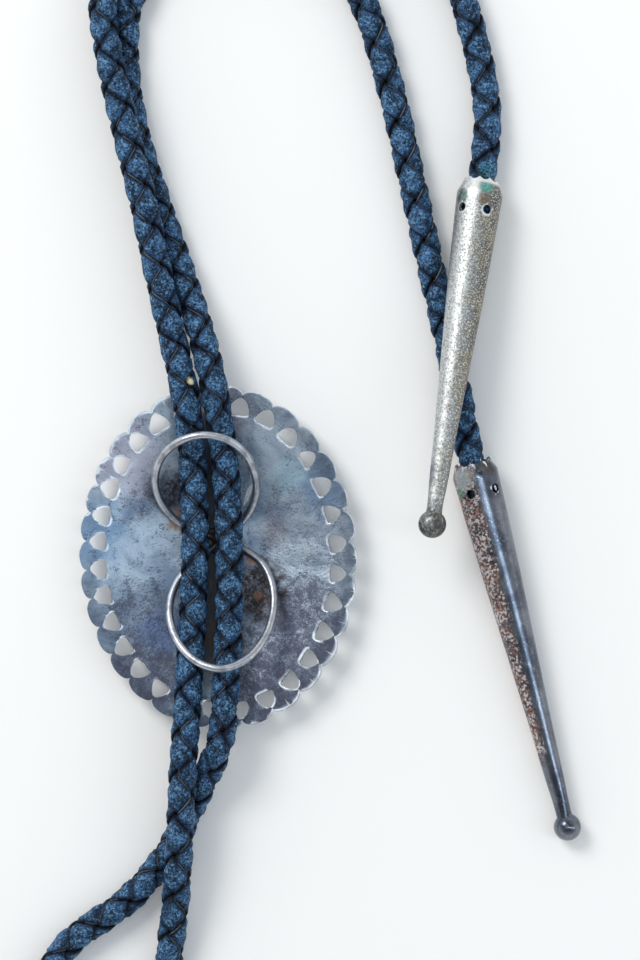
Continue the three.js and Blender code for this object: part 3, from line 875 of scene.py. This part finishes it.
# Dark down its left edge and pale across the rest: painted shade on one flank.
painted_shade_across = n.step(own.outputs["X"], -2.6, 1.2)
body = n.mix(painted_shade_across, (0.095, 0.09, 0.086), (0.56, 0.59, 0.6))
brass = n.sum("MULTIPLY", n.step(n.noise(where, 0.35, 4.0, 0.6), 0.4, 0.62), n.step(own.outputs["X"], 1.6, -1.0))
body = n.mix(n.sum("MULTIPLY", brass, 0.6), body, (0.36, 0.32, 0.2))
flecks = n.group(speckle, Vector=where, Scale=2.7, Amount=n.sum("MULTIPLY_ADD", brass, 0.2, 0.6))
body = n.mix(n.sum("MULTIPLY", flecks, 0.55), body, (0.12, 0.11, 0.1))
bright = n.group(speckle, Vector=where, Scale=3.6, Amount=0.5)
broken = n.step(n.noise(where, 1.5, 4.0, 0.7), 0.34, 0.56, 0.3, 0.9)
body = n.mix(n.sum("MULTIPLY", bright, 0.6), body, (0.85, 0.87, 0.86))
for centre, reach, colour in (
    ((-0.9, -0.6, 3.6), 1.5, (0.05, 0.36, 0.31)), ((1.9, -0.2, 3.2), 1.9, (0.9, 0.93, 0.93)),
    ((3.0, 1.4, 2.4), 1.6, (0.06, 0.16, 0.13)), ((-0.8, 1.6, 3.7), 1.3, (0.2, 0.13, 0.08)),
    ((2.6, 48.0, 0.5), 3.0, (0.2, 0.21, 0.24)), ((0.0, 56.8, 0.0), 4.6, (0.05, 0.052, 0.056)),
):
    area = n.sum("MULTIPLY", n.group(patch, Vector=where, Centre=centre, Reach=reach), broken)
    body = n.mix(area, body, colour)
# The cut edges are pale: rubbed bright, and a painted highlight along them.
edges = n.step(n.node("NewGeometry").outputs["Pointiness"], 0.54, 0.62)
body = n.mix(n.sum("MULTIPLY", edges, 0.8), body, (0.85, 0.88, 0.9))
n.put(shader.inputs["Base Color"], body)
shader.inputs["Metallic"].default_value = 0.85
n.put(shader.inputs["Roughness"], n.sum("MULTIPLY_ADD", flecks, 0.16, 0.42))
n.put(shader.inputs["Normal"], n.bump(n.noise(where, 3.0, 3.0, 0.65), 0.5, 0.12 * MM))
upper_tip.data.materials.append(grainy)

# Dark, polished, blue-black silver, with a reddish and pale crust of corrosion down its left.
lower_tip, place, turned = tips["lower_tip"]
corroded, n, shader = finish("corroded_dark_silver")
where = n.millimetres(place, turned)
own = n.tree.nodes.new("ShaderNodeSeparateXYZ")
n.put(own.inputs[0], where)
body = n.mix(n.step(n.noise(where, 0.25, 4.0, 0.6), 0.38, 0.62), (0.078, 0.09, 0.12), (0.17, 0.185, 0.22))
crust = n.sum("MULTIPLY", n.step(own.outputs["X"], -0.3, 1.1), n.step(own.outputs["Y"], 52.0, 47.0))
crust = n.sum("MULTIPLY", crust, n.step(n.noise(where, 0.3, 4.0, 0.65), 0.3, 0.5))
rust = n.mix(n.step(n.noise(where, 0.55, 4.0, 0.65), 0.4, 0.6), (0.035, 0.03, 0.032), (0.17, 0.085, 0.06))
body = n.mix(n.sum("MULTIPLY", crust, 0.85), body, rust)
salts = n.group(speckle, Vector=where, Scale=2.1, Amount=n.sum("MULTIPLY", crust, 0.66))
body = n.mix(salts, body, n.mix(n.step(n.noise(where, 0.7, 3.0), 0.5, 0.62), (0.6, 0.57, 0.58), (0.36, 0.2, 0.16)))
dust = n.group(speckle, Vector=where, Scale=3.2, Amount=0.3)
body = n.mix(n.sum("MULTIPLY", dust, 0.6), body, (0.5, 0.52, 0.5))
for centre, reach, colour in (
    ((2.6, 0.4, 2.6), 2.4, (0.5, 0.56, 0.58)), ((3.2, 2.6, 1.6), 1.0, (0.1, 0.3, 0.17)),
    ((-2.2, -0.6, 2.6), 1.6, (0.05, 0.04, 0.03)),
):
    area = n.group(patch, Vector=where, Centre=centre, Reach=reach)
    body = n.mix(n.sum("MULTIPLY", area, 0.75), body, colour)
# The cut edges are pale: rubbed bright, and a painted highlight along them.
edges = n.step(n.node("NewGeometry").outputs["Pointiness"], 0.54, 0.62)
body = n.mix(n.sum("MULTIPLY", edges, 0.8), body, (0.8, 0.85, 0.88))
n.put(shader.inputs["Base Color"], body)
shader.inputs["Metallic"].default_value = 0.9
n.put(shader.inputs["Roughness"], n.sum("MULTIPLY_ADD", crust, 0.32, 0.17))
pitted = n.sum("ADD", n.sum("MULTIPLY", salts, 0.6), n.sum("MULTIPLY", n.noise(where, 1.6, 4.0, 0.65), crust))
n.put(shader.inputs["Normal"], n.bump(pitted, 0.6, 0.16 * MM))
lower_tip.data.materials.append(corroded)
